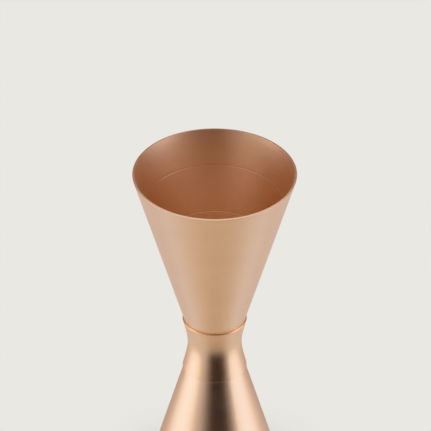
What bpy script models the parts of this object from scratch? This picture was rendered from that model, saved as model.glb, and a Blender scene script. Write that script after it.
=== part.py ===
"""A double bar jigger: two thin conical cups, small end to small end, in an hourglass collar.

Metres, +Z up. The origin is the centre of the lower rim, on the surface that the jigger stands on, and
every piece is turned about the Z axis. The larger cup, 45 ml, is up; the smaller one, 30 ml, is down and
stands on its rim. Each cup is one closed-bottomed shell. The collar is a sleeve lapped over both small
ends, and a braze ring behind each lap and a weld between the two floors hold the assembly together.
Nothing on it moves.
"""

import math

import bpy
from mathutils import Vector

MM = 0.001
MILLILITRE = 1e-6

# Overall
TOTAL_HEIGHT = 110.0 * MM
WAIST_HEIGHT = 49.6 * MM  # the collar's middle, where the two cups meet, above the lower rim
UPPER_RIM_RADIUS = 24.35 * MM
LOWER_RIM_RADIUS = 21.05 * MM
UPPER_NECK_RADIUS = 9.12 * MM  # outside of each cup where it leaves the collar
LOWER_NECK_RADIUS = 9.19 * MM

# Cups
CUP_WALL = 0.6 * MM
FLOOR_FILLET = 1.6 * MM  # inside the floor's corner; the outside has the wall more
RIM_INNER_EDGE = 0.06 * MM  # rounding of a rim's two edges, with a flat land between them
RIM_OUTER_EDGE = 0.2 * MM
UPPER_MARKS = (30 * MILLILITRE, 15 * MILLILITRE)
LOWER_MARKS = (20 * MILLILITRE, 10 * MILLILITRE)
MARK_WIDTH = 0.36 * MM
MARK_DEPTH = 0.12 * MM

# Collar
COLLAR_HEIGHT = 17.4 * MM
COLLAR_WALL = 0.4 * MM
COLLAR_END_RADIUS = 9.65 * MM  # outside; this leaves a capillary gap between each end and the cup in it
WAIST_RADIUS = 8.1 * MM  # outside of the collar at its narrowest
WAIST_CURVE = 4.3 * MM  # axial reach of the hourglass curve before it runs straight
COLLAR_OUTER_EDGE = 0.08 * MM
COLLAR_INNER_EDGE = 0.06 * MM

# Joints between the pieces
BRAZE_GAP = 0.1 * MM  # kept between a braze ring and the walls on either side
BRAZE_FROM = 1.0 * MM  # the ring's two ends, as distances from the collar's middle
BRAZE_TO = 3.4 * MM
WELD_RADIUS = 3.0 * MM
WELD_THICKNESS = 0.6 * MM
FLOOR_GAP = 0.3 * MM  # kept between the weld and each floor

STEPS = 64  # facets around every turned piece: the same on all, so that the thin gaps stay even
ARC_STEPS = 3
CURVE_STEPS = 10

HALF_COLLAR = COLLAR_HEIGHT / 2
FLOOR_OUTSIDE = WELD_THICKNESS / 2 + FLOOR_GAP
FLOOR_INSIDE = FLOOR_OUTSIDE + CUP_WALL


def clear_scene():
    for obj in list(bpy.data.objects):
        bpy.data.objects.remove(obj, do_unlink=True)


def metal(name, colour, roughness):
    """A bare or plated metal surface."""
    material = bpy.data.materials.new(name)
    material.use_nodes = True
    shader = material.node_tree.nodes["Principled BSDF"]
    shader.inputs["Base Color"].default_value = (*colour, 1.0)
    shader.inputs["Roughness"].default_value = roughness
    shader.inputs["Metallic"].default_value = 1.0
    return material


def rounded(corners):
    """An outline through corners of (radius from the axis, height, rounding), as a list of points."""
    outline = []
    for i, (r, z, rounding) in enumerate(corners):
        corner = Vector((r, z))
        if rounding == 0:
            outline.append(corner)
            continue
        back = (Vector(corners[i - 1][:2]) - corner).normalized()
        on = (Vector(corners[(i + 1) % len(corners)][:2]) - corner).normalized()
        half = back.angle(on) / 2
        centre = corner + (back + on).normalized() * rounding / math.sin(half)
        first = corner + back * rounding / math.tan(half) - centre
        last = corner + on * rounding / math.tan(half) - centre
        sweep = math.pi - 2 * half
        for step in range(ARC_STEPS + 1):
            t = step / ARC_STEPS
            spoke = first * math.sin((1 - t) * sweep) + last * math.sin(t * sweep)
            outline.append(centre + spoke / math.sin(sweep))
    return outline


def turned(name, outline, material, collection, closed=False):
    """A solid turned about Z from an outline that runs down its outer side, top to bottom."""
    points = [(point[0], 0.0, point[1]) for point in outline]
    edges = [(i, i + 1) for i in range(len(points) - 1)]
    if closed:
        edges.append((len(points) - 1, 0))
    mesh = bpy.data.meshes.new(name)
    mesh.from_pydata(points, edges, [])
    obj = bpy.data.objects.new(name, mesh)
    obj.data.materials.append(material)
    collection.objects.link(obj)
    screw = obj.modifiers.new("turn", "SCREW")
    screw.steps = screw.render_steps = STEPS
    screw.use_merge_vertices = True
    screw.merge_threshold = 0.00001
    screw.use_smooth_shade = True
    return obj


def smooth_by_angle(obj, degrees=30):
    """Makes the turned mesh real, then shades it smooth and keeps its edges and grooves sharp."""
    graph = bpy.context.evaluated_depsgraph_get()
    mesh = bpy.data.meshes.new_from_object(obj.evaluated_get(graph))
    obj.modifiers.clear()
    obj.data = mesh
    mesh.shade_smooth()
    mesh.set_sharp_from_angle(angle=math.radians(degrees))


class Cup:
    """One cup, in its own frame: height is counted from the collar's middle towards the rim."""

    def __init__(self, rim_radius, neck_radius, height, marks):
        self.rim_radius = rim_radius
        self.neck_radius = neck_radius
        self.height = height
        self.marks = marks
        self.slope = (rim_radius - neck_radius) / (height - HALF_COLLAR)
        self.side_wall = CUP_WALL * math.hypot(1, self.slope)  # the wall, measured square to the axis

    def outside(self, height):
        return self.neck_radius + self.slope * (height - HALF_COLLAR)

    def inside(self, height):
        return self.outside(height) - self.side_wall

    def fill_height(self, volume):
        """How high that volume stands in the cup, from a truncated cone's volume."""
        floor = self.inside(FLOOR_INSIDE)
        surface = (3 * self.slope * volume / math.pi + floor**3) ** (1 / 3)
        return FLOOR_INSIDE + (surface - floor) / self.slope

    def mark(self, volume):
        """An engraved line's V groove, with its lower lip first."""
        middle = self.fill_height(volume)
        low, high = middle - MARK_WIDTH / 2, middle + MARK_WIDTH / 2
        return [
            (self.inside(low), low, 0),
            (self.inside(middle) + MARK_DEPTH, middle, 0),
            (self.inside(high), high, 0),
        ]

    def outline(self):
        """From the middle of the floor inside, up the inside, over the rim and down to the floor outside."""
        grooves = [point for volume in sorted(self.marks) for point in self.mark(volume)]
        return rounded(
            [
                (0, FLOOR_INSIDE, 0),
                (self.inside(FLOOR_INSIDE), FLOOR_INSIDE, FLOOR_FILLET),
                *grooves,
                (self.inside(self.height), self.height, RIM_INNER_EDGE),
                (self.rim_radius, self.height, RIM_OUTER_EDGE),
                (self.outside(FLOOR_OUTSIDE), FLOOR_OUTSIDE, FLOOR_FILLET + CUP_WALL),
                (0, FLOOR_OUTSIDE, 0),
            ]
        )


def upwards(outline):
    """Places an outline of (radius, height from the collar's middle) above the middle."""
    return [(r, WAIST_HEIGHT + height) for r, height in outline]


def downwards(outline):
    """The same below the middle. It is reversed, so that it still runs down its outer side."""
    return [(r, WAIST_HEIGHT - height) for r, height in reversed(outline)]


def collar_outside(height):
    """The collar's hourglass: a hyperbola from the waist to the radius of its two ends."""
    reach = math.hypot(HALF_COLLAR, WAIST_CURVE) - WAIST_CURVE
    swell = (math.hypot(height, WAIST_CURVE) - WAIST_CURVE) / reach
    return WAIST_RADIUS + (COLLAR_END_RADIUS - WAIST_RADIUS) * swell


def collar_outline():
    """Down the outside and up the inside of the sleeve."""
    heights = [HALF_COLLAR * (1 - 2 * i / CURVE_STEPS) for i in range(1, CURVE_STEPS)]
    inner_end = COLLAR_END_RADIUS - COLLAR_WALL
    return rounded(
        [
            (COLLAR_END_RADIUS, HALF_COLLAR, COLLAR_OUTER_EDGE),
            *[(collar_outside(height), height, 0) for height in heights],
            (COLLAR_END_RADIUS, -HALF_COLLAR, COLLAR_OUTER_EDGE),
            (inner_end, -HALF_COLLAR, COLLAR_INNER_EDGE),
            *[(collar_outside(height) - COLLAR_WALL, height, 0) for height in reversed(heights)],
            (inner_end, HALF_COLLAR, COLLAR_INNER_EDGE),
        ]
    )


def braze_outline(cup):
    """The wedge of filler between the collar and a cup, down its outer side and up its inner side."""
    middle = (BRAZE_FROM + BRAZE_TO) / 2
    outer = [(collar_outside(h) - COLLAR_WALL - BRAZE_GAP, h) for h in (BRAZE_TO, middle, BRAZE_FROM)]
    inner = [(cup.outside(h) + BRAZE_GAP, h) for h in (BRAZE_FROM, BRAZE_TO)]
    return outer + inner


def weld_outline():
    """The pad of weld metal between the two floors."""
    edge = WELD_THICKNESS / 3
    return rounded(
        [
            (0, WELD_THICKNESS / 2, 0),
            (WELD_RADIUS, WELD_THICKNESS / 2, edge),
            (WELD_RADIUS, -WELD_THICKNESS / 2, edge),
            (0, -WELD_THICKNESS / 2, 0),
        ]
    )


def main():
    clear_scene()
    parts = bpy.data.collections.new("bar_jigger")
    bpy.context.scene.collection.children.link(parts)

    copper = metal("satin_copper_plate", (0.79, 0.47, 0.31), 0.28)
    bright_copper = metal("collar_copper_plate", (0.76, 0.44, 0.29), 0.24)
    filler = metal("braze_filler", (0.80, 0.62, 0.38), 0.4)
    steel = metal("weld_steel", (0.56, 0.55, 0.53), 0.45)

    upper = Cup(UPPER_RIM_RADIUS, UPPER_NECK_RADIUS, TOTAL_HEIGHT - WAIST_HEIGHT, UPPER_MARKS)
    lower = Cup(LOWER_RIM_RADIUS, LOWER_NECK_RADIUS, WAIST_HEIGHT, LOWER_MARKS)

    pieces = [
        turned("upper_cup", upwards(upper.outline()), copper, parts),
        turned("lower_cup", downwards(lower.outline()), copper, parts),
        turned("waist_collar", upwards(collar_outline()), bright_copper, parts, closed=True),
        turned("upper_braze_ring", upwards(braze_outline(upper)), filler, parts, closed=True),
        turned("lower_braze_ring", downwards(braze_outline(lower)), filler, parts, closed=True),
        turned("floor_weld", upwards(weld_outline()), steel, parts),
    ]
    for piece in pieces:
        smooth_by_angle(piece)


main()
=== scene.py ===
"""The bar jigger's looks: satin copper cups and collar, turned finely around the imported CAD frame.

Metres, +Z up, in the CAD model's frame. The camera looks along +Y and down, so "front" is -Y.
"""

import math

import bpy
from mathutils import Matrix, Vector


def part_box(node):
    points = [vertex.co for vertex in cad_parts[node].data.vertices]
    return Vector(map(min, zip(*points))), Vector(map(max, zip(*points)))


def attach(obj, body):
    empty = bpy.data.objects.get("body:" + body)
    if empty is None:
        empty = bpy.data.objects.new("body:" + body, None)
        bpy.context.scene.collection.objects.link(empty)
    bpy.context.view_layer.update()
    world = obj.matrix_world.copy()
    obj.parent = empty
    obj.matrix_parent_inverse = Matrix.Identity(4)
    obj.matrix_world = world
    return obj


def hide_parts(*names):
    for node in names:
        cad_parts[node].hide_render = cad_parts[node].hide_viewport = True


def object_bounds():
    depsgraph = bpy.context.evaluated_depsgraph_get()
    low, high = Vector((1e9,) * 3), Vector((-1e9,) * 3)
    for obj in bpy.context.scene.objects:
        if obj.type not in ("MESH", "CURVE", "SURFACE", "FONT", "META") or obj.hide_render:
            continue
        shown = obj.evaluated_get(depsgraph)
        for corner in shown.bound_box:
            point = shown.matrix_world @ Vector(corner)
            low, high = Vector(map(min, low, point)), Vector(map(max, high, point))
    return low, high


MM = 0.001
MILLILITRE = 1e-6

# Sizes that the frame's boxes don't give. They are the CAD model's, but for the rounding of edges, the
# rims' cut and the gap that shows at the collar's ends.
UPPER_RIM_RADIUS = 24.35 * MM
LOWER_RIM_RADIUS = 21.05 * MM
UPPER_NECK_RADIUS = 9.12 * MM
LOWER_NECK_RADIUS = 9.19 * MM
CUP_WALL = 0.6 * MM
FLOOR_FILLET = 1.6 * MM
RIM_EDGE = 0.05 * MM  # rounding of the rim's two edges; the rim is cut square to the wall
UPPER_MARKS = (30 * MILLILITRE, 15 * MILLILITRE)
LOWER_MARKS = (20 * MILLILITRE, 10 * MILLILITRE)
MARK_WIDTH = 0.36 * MM
MARK_DEPTH = 0.12 * MM
COLLAR_END_RADIUS = 9.65 * MM
COLLAR_WALL = 0.4 * MM
WAIST_RADIUS = 8.1 * MM
WAIST_CURVE = 4.3 * MM
COLLAR_OUTER_EDGE = 0.15 * MM
COLLAR_INNER_EDGE = 0.02 * MM
LAP_GAP = 0.01 * MM  # what shows of the lap's gap, which the filler has drawn up into
FLOOR_OUTSIDE = 0.6 * MM
FLOOR_INSIDE = FLOOR_OUTSIDE + CUP_WALL

# How finely the visible pieces are turned.
STEPS = 288
ARC_STEPS = 5
CURVE_STEPS = 48
WALL_RING = 2.0 * MM  # the longest stretch of wall between two rings of points
HOLD = 0.04 * MM  # the ring of points that keeps a wall flat beside a rounded edge

# Camera: a long lens, from a fit to the rim and the outline.
LENS = 549.9
SENSOR = 36.0
DISTANCE = 1.948
PITCH = 34.37
AIM_BELOW_RIM = 14.97 * MM
AIM_RIGHT = 0.25 * MM

# Copper: one shade for the outside and one for the lining, each between two near colours.
COPPER_DEEP = (0.944, 0.698, 0.517)
COPPER_PALE = (0.968, 0.734, 0.553)
COLLAR_DEEP = (0.954, 0.696, 0.494)
COLLAR_PALE = (0.978, 0.732, 0.530)
# The lining's copper is darker than the outside's: painted shade inside the cups.
SHADED_LINING_DEEP = (0.853, 0.625, 0.489)
SHADED_LINING_PALE = (0.877, 0.661, 0.525)
# The paler copper that the engraved lines are painted with: a painted highlight.
HIGHLIGHT_COPPER = (0.960, 0.760, 0.620)
ENGRAVED_HIGHLIGHT = 0.35  # how far an engraved line goes towards the painted highlight's paler copper
SATIN = 0.33  # roughness, and how far it varies, and how it differs in the lining and where it was cut
SATIN_VARIES = 0.03
LINING_ROUGHER = 0.08
BRIGHT_SMOOTHER = 0.10
GRAIN_FINE = 0.28 * MM  # the grain's pitches, down a wall
GRAIN_BANDS = 1.1 * MM
GRAIN_WAVES = 6.0 * MM
CLOUDS = 9.0 * MM
GRAIN_DEPTH = 0.006 * MM

# The filler and the weld, inside the waist.
FILLER_FRESH = (0.86, 0.68, 0.40)
FILLER_DULL = (0.62, 0.44, 0.24)
STEEL = (0.60, 0.58, 0.55)
STRAW = (0.66, 0.50, 0.28)  # the tints that heat leaves around a weld, from the hottest outwards
PLUM = (0.36, 0.22, 0.30)
BLUE = (0.22, 0.27, 0.42)
FLOW = 0.7 * MM
FILLER_DEPTH = 0.03 * MM
WELD_RADIUS = 3.0 * MM
RIPPLE = 0.35 * MM
RIPPLE_DEPTH = 0.02 * MM

# The studio, as radiance: pale surroundings, light from the floor that is warmer in front, a soft light
# above, a softbox on each side, a dark warm wall behind, and the dark around the camera. Angles are in
# degrees: elevation, and bearing from the camera's side, positive to the right.
BACKDROP = (0.874, 0.866, 0.826)
FLOOR_SIZE = 60.0
SHADE = 0.45  # the floor's brightness where the jigger hides most of the sky
SHADE_FULL = 0.4  # the share of open sky at which it is that dark
SHADE_REACH = 25 * MM
SHADE_SAMPLES = 8
ROOM = (0.721, 0.652, 0.626)
WALL_COLOUR = (0.360, 0.220, 0.170)
FLOOR_GLOW = (0.809, 0.878, 0.988)
FLOOR_FRONT = (0.713, 0.580, 0.436)
FLOOR_TURNS = 0.4  # that light turns from one colour to the other within this far of straight down
FLOOR_BELOW = -56
FLOOR_BLEND = 5
OVERHEAD = (0.440, 0.480, 0.460)
OVERHEAD_FOCUS = 10.2

# The studio's panels: bearing and elevation of the middle, half width, half height and softness.
WALL_BEHIND = (180.0, 10.0, 45.3, 35.0, 16.7)
LEFT_SOFTBOX = (-84.3, -7.2, 13.8, 14.8, 13.7)
LEFT_STRENGTH = 4.62
LEFT_COLOUR = (1.00, 0.955, 0.88)  # a little warm
RIGHT_SOFTBOX = (81.5, -0.3, 9.4, 21.6, 22.9)
RIGHT_STRENGTH = 3.51
RIGHT_COLOUR = (0.99, 1.00, 1.05)  # a little cool
CAMERA_DARK = (8.8, -7.0, 37.3, 41.9, 20.0)
CAMERA_DARKNESS = 0.940
GLIMMER = (0.008, 0.014, 0.030)  # what little comes out of that dark

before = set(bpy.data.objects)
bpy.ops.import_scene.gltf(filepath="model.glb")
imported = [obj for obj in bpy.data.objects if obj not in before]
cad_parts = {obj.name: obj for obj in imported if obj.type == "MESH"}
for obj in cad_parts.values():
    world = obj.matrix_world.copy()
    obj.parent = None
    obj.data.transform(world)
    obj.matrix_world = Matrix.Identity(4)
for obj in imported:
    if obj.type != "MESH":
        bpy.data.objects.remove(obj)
cad_low, cad_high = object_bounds()

TOTAL_HEIGHT = cad_high.z
collar_low, collar_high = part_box("waist_collar")
WAIST_HEIGHT = (collar_low.z + collar_high.z) / 2
HALF_COLLAR = (collar_high.z - collar_low.z) / 2


# Outlines -----------------------------------------------------------------------------------------


def rounded(corners):
    """An outline through corners of (radius from the axis, height, rounding), as a list of points."""
    outline = []
    for i, (r, z, rounding) in enumerate(corners):
        corner = Vector((r, z))
        if rounding == 0:
            outline.append(corner)
            continue
        back = (Vector(corners[i - 1][:2]) - corner).normalized()
        on = (Vector(corners[(i + 1) % len(corners)][:2]) - corner).normalized()
        half = back.angle(on) / 2
        reach = rounding / math.tan(half)
        centre = corner + (back + on).normalized() * rounding / math.sin(half)
        first = corner + back * reach - centre
        last = corner + on * reach - centre
        sweep = math.pi - 2 * half
        outline.append(centre + first + back * HOLD)
        for step in range(ARC_STEPS + 1):
            t = step / ARC_STEPS
            spoke = first * math.sin((1 - t) * sweep) + last * math.sin(t * sweep)
            outline.append(centre + spoke / math.sin(sweep))
        outline.append(centre + last + on * HOLD)
    return outline


def divided(outline, longest):
    """The same outline with points added, so that no stretch is longer than that."""
    points = [outline[0]]
    for here, there in zip(outline, outline[1:]):
        parts = max(1, math.ceil((there - here).length / longest))
        points += [here.lerp(there, part / parts) for part in range(1, parts + 1)]
    return points


class Cup:
    """One cup, in its own frame: height is counted from the collar's middle towards the rim."""

    def __init__(self, rim_radius, neck_radius, height, marks):
        self.neck_radius = neck_radius
        self.height = height
        self.marks = marks
        self.slope = (rim_radius - neck_radius) / (height - HALF_COLLAR)
        self.side_wall = CUP_WALL * math.hypot(1, self.slope)
        self.rim_drop = CUP_WALL * self.slope / math.hypot(1, self.slope)

    def outside(self, height):
        return self.neck_radius + self.slope * (height - HALF_COLLAR)

    def inside(self, height):
        return self.outside(height) - self.side_wall

    def fill_height(self, volume):
        """How high that volume stands in the cup, from a truncated cone's volume."""
        floor = self.inside(FLOOR_INSIDE)
        surface = (3 * self.slope * volume / math.pi + floor**3) ** (1 / 3)
        return FLOOR_INSIDE + (surface - floor) / self.slope

    def mark(self, volume):
        """An engraved line's V groove, lower lip first, with a ring to hold the wall on each side."""
        middle = self.fill_height(volume)
        half = MARK_WIDTH / 2
        below = [(self.inside(h), h, 0) for h in (middle - half - HOLD, middle - half)]
        above = [(self.inside(h), h, 0) for h in (middle + half, middle + half + HOLD)]
        return [*below, (self.inside(middle) + MARK_DEPTH, middle, 0), *above]

    def outline(self):
        """From the floor's middle, up the inside, over the rim and down to the floor outside."""
        grooves = [point for volume in sorted(self.marks) for point in self.mark(volume)]
        outer_rim = self.height - self.rim_drop
        corners = [
            (0, FLOOR_INSIDE, 0),
            (self.inside(FLOOR_INSIDE), FLOOR_INSIDE, FLOOR_FILLET),
            *grooves,
            (self.inside(self.height), self.height, RIM_EDGE),
            (self.outside(outer_rim), outer_rim, RIM_EDGE),
            (self.outside(FLOOR_OUTSIDE), FLOOR_OUTSIDE, FLOOR_FILLET + CUP_WALL),
            (0, FLOOR_OUTSIDE, 0),
        ]
        return divided(rounded(corners), WALL_RING)


def upwards(outline):
    """Places an outline of (radius, height from the collar's middle) above the middle."""
    return [Vector((r, WAIST_HEIGHT + height)) for r, height in outline]


def downwards(outline):
    """The same below the middle. It is reversed, so that it still runs down its outer side."""
    return [Vector((r, WAIST_HEIGHT - height)) for r, height in reversed(outline)]


def collar_outside(height):
    """The collar's hourglass: a hyperbola from the waist to the radius of its two ends."""
    reach = math.hypot(HALF_COLLAR, WAIST_CURVE) - WAIST_CURVE
    swell = (math.hypot(height, WAIST_CURVE) - WAIST_CURVE) / reach
    return WAIST_RADIUS + (COLLAR_END_RADIUS - WAIST_RADIUS) * swell


def collar_outline():
    """Down the outside and up the inside of the sleeve."""
    heights = [HALF_COLLAR * (1 - 2 * i / CURVE_STEPS) for i in range(1, CURVE_STEPS)]
    return rounded(
        [
            (COLLAR_END_RADIUS, HALF_COLLAR, COLLAR_OUTER_EDGE),
            *[(collar_outside(height), height, 0) for height in heights],
            (COLLAR_END_RADIUS, -HALF_COLLAR, COLLAR_OUTER_EDGE),
            (LOWER_NECK_RADIUS + LAP_GAP, -HALF_COLLAR, COLLAR_INNER_EDGE),
            *[(collar_outside(height) - COLLAR_WALL, height, 0) for height in reversed(heights)],
            (UPPER_NECK_RADIUS + LAP_GAP, HALF_COLLAR, COLLAR_INNER_EDGE),
        ]
    )


def turned(name, outline, material, closed=False):
    """A smooth solid turned about Z from an outline that runs down its outer side, top to bottom."""
    points = [(point.x, 0.0, point.y) for point in outline]
    edges = [(i, i + 1) for i in range(len(points) - 1)]
    if closed:
        edges.append((len(points) - 1, 0))
    mesh = bpy.data.meshes.new(name)
    mesh.from_pydata(points, edges, [])
    obj = bpy.data.objects.new(name, mesh)
    mesh.materials.append(material)
    bpy.context.scene.collection.objects.link(obj)
    screw = obj.modifiers.new("turn", "SCREW")
    screw.steps = screw.render_steps = STEPS
    screw.use_merge_vertices = True
    screw.merge_threshold = 0.000001
    screw.use_smooth_shade = True
    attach(obj, "root")
    return obj


# Materials ----------------------------------------------------------------------------------------


class Nodes:
    """A short way to add and link nodes. An input is a number or colour, or another node's output."""

    def __init__(self, tree):
        self.tree = tree
        self.tree.nodes.clear()

    def add(self, kind, inputs=None, **settings):
        node = self.tree.nodes.new(kind)
        for name, value in settings.items():
            setattr(node, name, value)
        for key, value in (inputs or {}).items():
            if isinstance(value, bpy.types.NodeSocket):
                self.tree.links.new(value, node.inputs[key])
            else:
                node.inputs[key].default_value = value
        return node

    def maths(self, operation, *values):
        return self.add("ShaderNodeMath", dict(enumerate(values)), operation=operation).outputs[0]

    def ramp(self, value, low, high, to_low=0.0, to_high=1.0):
        """Turns low..high smoothly into to_low..to_high."""
        inputs = {"Value": value, "From Min": low, "From Max": high, "To Min": to_low, "To Max": to_high}
        return self.add("ShaderNodeMapRange", inputs, interpolation_type="SMOOTHSTEP").outputs["Result"]

    def spread(self, value, to_low, to_high):
        """Turns a noise, which keeps mostly within 0.25 to 0.75, evenly into to_low..to_high."""
        inputs = {"Value": value, "From Min": 0.25, "From Max": 0.75, "To Min": to_low, "To Max": to_high}
        return self.add("ShaderNodeMapRange", inputs).outputs["Result"]

    def mix(self, factor, one, other):
        """A colour between two colours."""
        node = self.add("ShaderNodeMix", {"Factor": factor}, data_type="RGBA")
        for socket, value in ((node.inputs[6], one), (node.inputs[7], other)):
            if isinstance(value, bpy.types.NodeSocket):
                self.tree.links.new(value, socket)
            else:
                socket.default_value = (*value, 1.0)
        return node.outputs[2]


class Lathe:
    """Where a point is on a turned piece: its distance from the axis, its height and its bearing."""

    def __init__(self, nodes):
        self.nodes = nodes
        place = nodes.add("ShaderNodeTexCoord").outputs["Object"]
        parts = nodes.add("ShaderNodeSeparateXYZ", {0: place})
        across, along, self.height = parts.outputs
        square = nodes.maths("ADD", nodes.maths("POWER", across, 2.0), nodes.maths("POWER", along, 2.0))
        self.radius = nodes.maths("SQRT", square)
        safe = nodes.maths("MAXIMUM", self.radius, 0.01 * MM)
        self.east = nodes.maths("DIVIDE", across, safe)
        self.north = nodes.maths("DIVIDE", along, safe)
        # grows along a wall and across a flat floor alike
        self.run = nodes.maths("MULTIPLY_ADD", self.radius, 0.6, self.height)

    def streaks(self, pitch, around, detail=2.0, shift=0.0):
        """Noise drawn out around the axis: so many streaks around, and a pitch in metres across them."""
        size = around / math.tau
        inputs = {
            0: self.nodes.maths("MULTIPLY", self.east, size),
            1: self.nodes.maths("MULTIPLY", self.north, size),
            2: self.nodes.maths("MULTIPLY_ADD", self.run, 1 / pitch, shift),
        }
        place = self.nodes.add("ShaderNodeCombineXYZ", inputs).outputs[0]
        noise = {"Vector": place, "Scale": 1.0, "Detail": detail, "Roughness": 0.55}
        return self.nodes.add("ShaderNodeTexNoise", noise).outputs["Fac"]


def new_material(name):
    material = bpy.data.materials.new(name)
    material.use_nodes = True
    return material, Nodes(material.node_tree)


def metal_shader(nodes, colour, roughness, height, bump_size):
    """A bare metal whose colour and roughness vary, with its grain's height as a bump."""
    bump = nodes.add("ShaderNodeBump", {"Strength": 1.0, "Distance": bump_size, "Height": height})
    inputs = {"Base Color": colour, "Roughness": roughness, "Metallic": 1.0, "Normal": bump.outputs[0]}
    shader = nodes.add("ShaderNodeBsdfPrincipled", inputs)
    nodes.add("ShaderNodeOutputMaterial", {"Surface": shader.outputs[0]})


def turned_grain(nodes, lathe):
    """The lathe's grain: fine lines, wider bands and a few long waves, as one height."""
    fine = nodes.spread(lathe.streaks(GRAIN_FINE, 40, 3.0), -0.25, 0.25)
    bands = nodes.spread(lathe.streaks(GRAIN_BANDS, 9, 2.0, 5.0), -0.5, 0.5)
    waves = nodes.spread(lathe.streaks(GRAIN_WAVES, 4, 1.0, 9.0), -2.0, 2.0)
    return nodes.maths("ADD", nodes.maths("ADD", fine, bands), waves)


def satin_copper(name, deep, pale, inner=None, cut_highlight=None):
    """Satin copper between two near shades: brushed around the axis and faintly cloudy.

    The last two arguments are functions of (nodes, lathe). The first gives 1 where the lining is, which
    is painted darker copper as shade; the second says how far an engraved line is smoother and painted
    paler.
    """
    material, nodes = new_material(name)
    lathe = Lathe(nodes)
    clouds = lathe.streaks(CLOUDS, 7, 3.0, 2.0)
    bands = lathe.streaks(GRAIN_BANDS, 14, 3.0, 7.0)
    colour = nodes.mix(nodes.spread(clouds, 0.0, 1.0), deep, pale)
    roughness = nodes.spread(bands, SATIN - SATIN_VARIES, SATIN + SATIN_VARIES)
    if inner:
        inside = inner(nodes, lathe)
        # painted shade: the lining is given the darker copper
        shaded_lining = nodes.mix(nodes.spread(clouds, 0.0, 1.0), SHADED_LINING_DEEP, SHADED_LINING_PALE)
        colour = nodes.mix(inside, colour, shaded_lining)
        roughness = nodes.maths("MULTIPLY_ADD", inside, LINING_ROUGHER, roughness)
    if cut_highlight:
        cut = cut_highlight(nodes, lathe)
        # painted highlight: the engraved lines go towards paler copper
        colour = nodes.mix(cut, colour, HIGHLIGHT_COPPER)
        roughness = nodes.maths("MULTIPLY_ADD", cut, -BRIGHT_SMOOTHER, roughness)
    metal_shader(nodes, colour, roughness, turned_grain(nodes, lathe), GRAIN_DEPTH)
    return material


def cup_copper(name, cup, rim_height, middle_height):
    """The satin copper of one cup, with a rougher lining painted darker as shade, and fill lines painted
    paler.
    """
    way = 1 if rim_height > middle_height else -1

    def inner(nodes, lathe):
        up = nodes.maths("MULTIPLY_ADD", lathe.height, way, -way * middle_height)
        mid_wall = nodes.maths("MULTIPLY_ADD", up, cup.slope, cup.inside(0) + cup.side_wall / 2)
        gap = nodes.maths("SUBTRACT", lathe.radius, mid_wall)
        return nodes.ramp(gap, -0.1 * MM, 0.1 * MM, 1.0, 0.0)

    # painted highlight: how far each engraved line goes towards paler copper, and smoother metal
    def cut_highlight(nodes, lathe):
        total = 0.0
        for volume in cup.marks:
            at = middle_height + way * cup.fill_height(volume)
            off = nodes.maths("ABSOLUTE", nodes.maths("SUBTRACT", lathe.height, at))
            line = nodes.ramp(off, MARK_WIDTH / 2, MARK_WIDTH / 2 + 0.05 * MM, ENGRAVED_HIGHLIGHT, 0.0)
            line = nodes.maths("MULTIPLY", line, inner(nodes, lathe))
            total = nodes.maths("MAXIMUM", total, line)
        return total

    return satin_copper(name, COPPER_DEEP, COPPER_PALE, inner, cut_highlight)


def cloud_noise(nodes, size, detail=3.0):
    place = nodes.add("ShaderNodeTexCoord").outputs["Object"]
    noise = {"Vector": place, "Scale": 1 / size, "Detail": detail, "Roughness": 0.6}
    return nodes.add("ShaderNodeTexNoise", noise).outputs["Fac"]


def braze_filler():
    """Brass-coloured filler that has flowed around the axis: glossy crests, dull flux-stained hollows."""
    material, nodes = new_material("braze_filler")
    lathe = Lathe(nodes)
    flow = lathe.streaks(FLOW, 12, 3.0)
    stains = cloud_noise(nodes, 1.8 * MM)
    colour = nodes.mix(nodes.spread(stains, 0.0, 1.0), FILLER_DULL, FILLER_FRESH)
    roughness = nodes.spread(stains, 0.55, 0.28)
    height = nodes.maths("ADD", nodes.spread(flow, 0.0, 1.0), cloud_noise(nodes, 0.25 * MM, 1.0))
    metal_shader(nodes, colour, roughness, height, FILLER_DEPTH)
    return material


def weld_metal():
    """A weld pad: rings of frozen ripples, grey steel in the middle and heat tints towards the edge."""
    material, nodes = new_material("weld_metal")
    lathe = Lathe(nodes)
    wobble = nodes.spread(cloud_noise(nodes, 1.2 * MM), -0.5, 0.5)
    rings = nodes.maths("ADD", nodes.maths("MULTIPLY", lathe.radius, math.tau / RIPPLE), wobble)
    pits = nodes.spread(cloud_noise(nodes, 0.2 * MM), 0.0, 0.6)
    ripple = nodes.maths("ADD", nodes.maths("SINE", rings), pits)
    reach = nodes.maths("MULTIPLY_ADD", wobble, 0.15 * WELD_RADIUS, lathe.radius)
    colour = nodes.mix(nodes.ramp(reach, 0.45 * WELD_RADIUS, 0.65 * WELD_RADIUS), STEEL, STRAW)
    colour = nodes.mix(nodes.ramp(reach, 0.65 * WELD_RADIUS, 0.82 * WELD_RADIUS), colour, PLUM)
    colour = nodes.mix(nodes.ramp(reach, 0.82 * WELD_RADIUS, WELD_RADIUS), colour, BLUE)
    roughness = nodes.spread(cloud_noise(nodes, 0.8 * MM), 0.32, 0.5)
    metal_shader(nodes, colour, roughness, ripple, RIPPLE_DEPTH)
    return material


# The object ---------------------------------------------------------------------------------------


def finish(node, material):
    """Gives a CAD node's object a material of its own."""
    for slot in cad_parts[node].material_slots:
        slot.material = material


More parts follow.
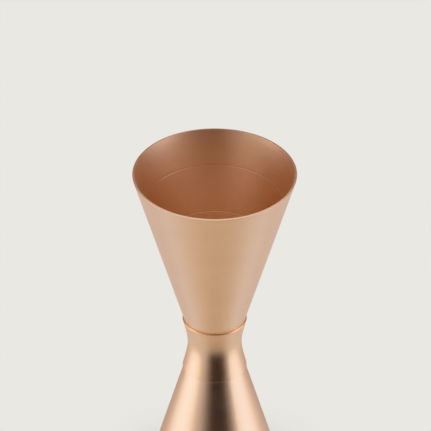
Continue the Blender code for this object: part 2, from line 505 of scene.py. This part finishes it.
def make_jigger():
    upper = Cup(UPPER_RIM_RADIUS, UPPER_NECK_RADIUS, TOTAL_HEIGHT - WAIST_HEIGHT, UPPER_MARKS)
    lower = Cup(LOWER_RIM_RADIUS, LOWER_NECK_RADIUS, WAIST_HEIGHT, LOWER_MARKS)
    upper_copper = cup_copper("upper_cup_copper", upper, TOTAL_HEIGHT, WAIST_HEIGHT)
    upper_cup = turned("upper_cup_turned", upwards(upper.outline()), upper_copper)
    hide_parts("upper_cup")
    lower_copper = cup_copper("lower_cup_copper", lower, 0.0, WAIST_HEIGHT)
    lower_cup = turned("lower_cup_turned", downwards(lower.outline()), lower_copper)
    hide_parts("lower_cup")
    collar_copper = satin_copper("collar_copper", COLLAR_DEEP, COLLAR_PALE)
    collar = turned("waist_collar_turned", upwards(collar_outline()), collar_copper, closed=True)
    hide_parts("waist_collar")
    filler = braze_filler()
    for node in ("upper_braze_ring", "lower_braze_ring"):
        finish(node, filler)
    finish("floor_weld", weld_metal())


# Stage --------------------------------------------------------------------------------------------


def make_floor():
    """A pale floor that glows like the backdrop, with a painted shadow that makes it a little darker
    close to the jigger.
    """
    bpy.ops.mesh.primitive_plane_add(size=FLOOR_SIZE)
    floor = bpy.context.object
    floor.name = "floor"
    material, nodes = new_material("pale_floor")
    open_sky = nodes.add("ShaderNodeAmbientOcclusion", {"Distance": SHADE_REACH}, samples=SHADE_SAMPLES)
    lit = nodes.ramp(open_sky.outputs["AO"], SHADE_FULL, 1.0)
    colour = nodes.mix(lit, [SHADE * level for level in BACKDROP], BACKDROP)
    glow = nodes.add("ShaderNodeEmission", {"Color": colour})
    nodes.add("ShaderNodeOutputMaterial", {"Surface": glow.outputs[0]})
    floor.data.materials.append(material)
    floor.visible_glossy = False
    floor.visible_diffuse = False


def make_camera():
    data = bpy.data.cameras.new("camera")
    data.lens = LENS
    data.sensor_width = SENSOR
    data.clip_start = 0.1
    data.clip_end = 50.0
    camera = bpy.data.objects.new("camera", data)
    bpy.context.scene.collection.objects.link(camera)
    pitch = math.radians(PITCH)
    aim = Vector((AIM_RIGHT, 0.0, TOTAL_HEIGHT - AIM_BELOW_RIM))
    camera.location = aim + DISTANCE * Vector((0.0, -math.cos(pitch), math.sin(pitch)))
    camera.rotation_euler = (math.pi / 2 - pitch, 0.0, 0.0)
    bpy.context.scene.camera = camera


def cover(nodes, panel, bearing, elevation):
    """1 inside a panel of the sky, 0 outside it, and smooth between."""
    middle_bearing, middle_elevation, half_width, half_height, softness = map(math.radians, panel)
    aside = nodes.maths("WRAP", nodes.maths("SUBTRACT", bearing, middle_bearing), math.pi, -math.pi)
    above = nodes.maths("SUBTRACT", elevation, middle_elevation)
    covers = [
        nodes.ramp(nodes.maths("ABSOLUTE", off), half - softness, half + softness, 1.0, 0.0)
        for off, half in ((aside, half_width), (above, half_height))
    ]
    return nodes.maths("MULTIPLY", *covers)


def make_world():
    """The studio that the metal reflects. The camera itself sees the plain backdrop."""
    world = bpy.data.worlds.new("studio")
    world.use_nodes = True
    bpy.context.scene.world = world
    nodes = Nodes(world.node_tree)
    direction = nodes.add("ShaderNodeTexCoord").outputs["Generated"]
    x, y, z = nodes.add("ShaderNodeSeparateXYZ", {0: direction}).outputs
    bearing = nodes.maths("ARCTAN2", x, nodes.maths("MULTIPLY", y, -1.0))
    elevation = nodes.maths("ARCSINE", z)

    dark = nodes.maths("MULTIPLY", cover(nodes, CAMERA_DARK, bearing, elevation), CAMERA_DARKNESS)
    lit = nodes.maths("SUBTRACT", 1.0, dark)
    low = math.radians(FLOOR_BELOW - FLOOR_BLEND)
    high = math.radians(FLOOR_BELOW + FLOOR_BLEND)
    below = nodes.ramp(elevation, low, high, 1.0, 0.0)
    behind = cover(nodes, WALL_BEHIND, bearing, elevation)
    floor = nodes.mix(nodes.ramp(y, -FLOOR_TURNS, FLOOR_TURNS), FLOOR_FRONT, FLOOR_GLOW)
    surroundings = nodes.mix(below, nodes.mix(behind, ROOM, WALL_COLOUR), floor)

    falling = nodes.maths("MULTIPLY", nodes.maths("SUBTRACT", z, 1.0), OVERHEAD_FOCUS)
    open_above = nodes.maths("MULTIPLY", lit, nodes.maths("SUBTRACT", 1.0, behind))
    overhead = nodes.maths("MULTIPLY", nodes.maths("EXPONENT", falling), open_above)

    left = nodes.maths("MULTIPLY", cover(nodes, LEFT_SOFTBOX, bearing, elevation), LEFT_STRENGTH)
    right = nodes.maths("MULTIPLY", cover(nodes, RIGHT_SOFTBOX, bearing, elevation), RIGHT_STRENGTH)

    lights = [
        (surroundings, lit),
        ((*GLIMMER, 1.0), dark),
        ((*OVERHEAD, 1.0), overhead),
        ((*LEFT_COLOUR, 1.0), left),
        ((*RIGHT_COLOUR, 1.0), right),
    ]
    total = None
    for colour, strength in lights:
        light = nodes.add("ShaderNodeBackground", {"Color": colour, "Strength": strength}).outputs[0]
        total = nodes.add("ShaderNodeAddShader", {0: total, 1: light}).outputs[0] if total else light
    seen = nodes.add("ShaderNodeBackground", {"Color": (*BACKDROP, 1.0)}).outputs[0]
    from_camera = nodes.add("ShaderNodeLightPath").outputs["Is Camera Ray"]
    both = nodes.add("ShaderNodeMixShader", {0: from_camera, 1: total, 2: seen}).outputs[0]
    nodes.add("ShaderNodeOutputWorld", {"Surface": both})


make_jigger()
make_floor()
make_camera()
make_world()
bpy.context.scene.view_settings.view_transform = "Khronos PBR Neutral"

bpy.context.view_layer.update()
